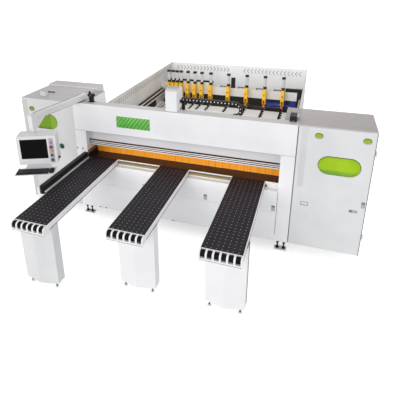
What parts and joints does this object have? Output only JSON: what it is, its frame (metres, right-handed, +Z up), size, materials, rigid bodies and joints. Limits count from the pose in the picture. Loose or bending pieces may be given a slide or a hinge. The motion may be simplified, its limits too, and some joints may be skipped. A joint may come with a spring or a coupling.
{
  "type": "cnc beam saw",
  "caption": "Panel beam saw with a gantry and pressure beam over a saw trough, air-float tables in front, a rear pusher with clamps inside guards, side cabinets and a swing-arm console.",
  "frame": {"origin": "on the floor, at the centre of the footprint of the whole machine", "axes": "+X along the cut to the operator's right, +Y from the operator to the rear pusher, +Z up"},
  "size_m": [4.98, 5.642, 2.1827],
  "materials": {
    "white_powder_coat": "satin powder coat",
    "grey_powder_coat": "satin powder coat",
    "green_insert": "satin paint",
    "brown_phenolic": "polished phenolic board",
    "black_laminate": "fine grained laminate",
    "black_plastic": "moulded",
    "black_steel": "black paint",
    "aluminium": "anodised extrusion",
    "orange_strip": "flexible strip",
    "yellow_paint": "gloss paint",
    "blue_motor": "gloss paint",
    "machined_steel": "ground",
    "zinc_steel": "zinc plated",
    "screen_glass": "gloss",
    "red_plastic": "moulded",
    "yellow_plastic": "moulded",
    "green_plastic": "moulded",
    "cylinder_white": "anodised"
  },
  "bodies": {
    "frame": {"air_service_unit": "black_plastic", "base_front_panels": "white_powder_coat", "base_trough": "grey_powder_coat", "beam_end_bracket": "black_steel", "column_left": "white_powder_coat", "column_right": "white_powder_coat", "drag_chain": "black_plastic", "dust_hood": "white_powder_coat", "gantry_beam": "white_powder_coat", "guard_back": "grey_powder_coat", "guard_left": "grey_powder_coat", "guard_right": "grey_powder_coat", "left_cabinet": "white_powder_coat", "left_inserts": "green_insert", "levelling_feet": "zinc_steel", "machine_table": "brown_phenolic", "profile_rail": "aluminium", "rear_crossbeams": "grey_powder_coat", "rear_table_plates": "grey_powder_coat", "right_cabinet": "white_powder_coat", "saw_guides": "machined_steel", "side_beams": "grey_powder_coat", "squaring_fence": "black_steel", "strip_curtain": "orange_strip", "table_box_1": "white_powder_coat", "table_box_2": "white_powder_coat", "table_box_3": "white_powder_coat", "table_leg_1": "white_powder_coat", "table_leg_2": "white_powder_coat", "table_leg_3": "white_powder_coat", "table_top_1": "black_laminate", "table_top_2": "black_laminate", "table_top_3": "black_laminate", "wheel_rails": "black_plastic"},
    "right_door": {"right_door": "white_powder_coat", "right_door_inserts": "green_insert"},
    "door_latch": {"door_latch": "black_plastic"},
    "main_switch": {"main_switch": "green_plastic"},
    "pressure_beam": {"pressure_beam": "aluminium"},
    "saw_carriage": {"saw_carriage": "machined_steel"},
    "saw_lift": {"saw_lift": "grey_powder_coat"},
    "main_blade": {"main_blade": "machined_steel"},
    "scoring_blade": {"scoring_blade": "machined_steel"},
    "pusher": {"pusher_beam": "white_powder_coat", "clamp_bodies": "yellow_paint", "clamp_fingers": "yellow_paint", "clamp_cylinders": "cylinder_white", "pusher_motor": "blue_motor"},
    "clamp_jaws": {"clamp_jaws": "yellow_paint"},
    "nose_rollers_1": {"nose_rollers_1": "black_plastic"},
    "nose_rollers_2": {"nose_rollers_2": "black_plastic"},
    "nose_rollers_3": {"nose_rollers_3": "black_plastic"},
    "console_arm": {"console_arm": "white_powder_coat"},
    "console": {"console_box": "white_powder_coat", "console_screen": "screen_glass", "keyboard_and_mouse": "black_plastic"},
    "estop_button": {"estop_button": "red_plastic"},
    "yellow_button": {"yellow_button": "yellow_plastic"},
    "selector_1": {"selector_1": "black_plastic"},
    "selector_2": {"selector_2": "black_plastic"}
  },
  "joints": [
    {"name": "door_hinge", "type": "hinge", "parent": "frame", "child": "right_door", "pos_m": [2.48, -1.031, 1], "axis": [0, 0, 1], "range_deg": [0, 110]},
    {"name": "latch_lift", "type": "hinge", "parent": "right_door", "child": "door_latch", "pos_m": [1.746, -1.056, 0.816], "axis": [-1, 0, 0], "range_deg": [0, 40], "stiffness_Nm_per_rad": 0.3},
    {"name": "main_switch_turn", "type": "hinge", "parent": "frame", "child": "main_switch", "pos_m": [-1.852, -1.062, 1.132], "axis": [0, -1, 0], "range_deg": [0, 90]},
    {"name": "pressure_stroke", "type": "slide", "parent": "frame", "child": "pressure_beam", "axis": [0, 0, 1], "range_m": [-0.122, 0]},
    {"name": "saw_travel", "type": "slide", "parent": "frame", "child": "saw_carriage", "axis": [1, 0, 0], "range_m": [0, 3.2]},
    {"name": "saw_rise", "type": "slide", "parent": "saw_carriage", "child": "saw_lift", "axis": [0, 0, 1], "range_m": [0, 0.16]},
    {"name": "main_blade_spin", "type": "hinge", "parent": "saw_lift", "child": "main_blade", "pos_m": [-1.6, -0.64, 0.74], "axis": [0, 1, 0], "continuous": true},
    {"name": "scoring_blade_spin", "type": "hinge", "parent": "saw_lift", "child": "scoring_blade", "pos_m": [-1.9, -0.64, 0.748], "axis": [0, 1, 0], "continuous": true},
    {"name": "pusher_travel", "type": "slide", "parent": "frame", "child": "pusher", "axis": [0, 1, 0], "range_m": [-2.36, 0]},
    {"name": "jaw_close", "type": "hinge", "parent": "pusher", "child": "clamp_jaws", "pos_m": [0, 2.075, 1.09], "axis": [1, 0, 0], "range_deg": [0, 22]},
    {"name": "nose_roller_spin_1", "type": "hinge", "parent": "frame", "child": "nose_rollers_1", "pos_m": [-1.167, -2.783, 0.957], "axis": [1, 0, 0], "continuous": true},
    {"name": "nose_roller_spin_2", "type": "hinge", "parent": "frame", "child": "nose_rollers_2", "pos_m": [-0.051, -2.604, 0.957], "axis": [1, 0, 0], "continuous": true},
    {"name": "nose_roller_spin_3", "type": "hinge", "parent": "frame", "child": "nose_rollers_3", "pos_m": [1.008, -2.604, 0.957], "axis": [1, 0, 0], "continuous": true},
    {"name": "arm_swing", "type": "hinge", "parent": "frame", "child": "console_arm", "pos_m": [-1.465, -0.84, 1.9], "axis": [0, 0, 1], "range_deg": [-45, 25]},
    {"name": "console_swivel", "type": "hinge", "parent": "console_arm", "child": "console", "pos_m": [-1.638, -1.909, 1.9], "axis": [0, 0, 1], "range_deg": [-60, 60]},
    {"name": "estop_press", "type": "slide", "parent": "console", "child": "estop_button", "axis": [-0.4003, 0.9164, 0], "range_m": [0, 0.006], "stiffness_N_per_m": 800},
    {"name": "push_button_press", "type": "slide", "parent": "console", "child": "yellow_button", "axis": [-0.4003, 0.9164, 0], "range_m": [0, 0.004], "stiffness_N_per_m": 600},
    {"name": "selector_turn_1", "type": "hinge", "parent": "console", "child": "selector_1", "pos_m": [-1.34806, -1.97294, 1.461], "axis": [0.4003, -0.9164, 0], "range_deg": [-45, 45]},
    {"name": "selector_turn_2", "type": "hinge", "parent": "console", "child": "selector_2", "pos_m": [-1.34806, -1.97294, 1.396], "axis": [0.4003, -0.9164, 0], "range_deg": [-45, 45]}
  ]
}
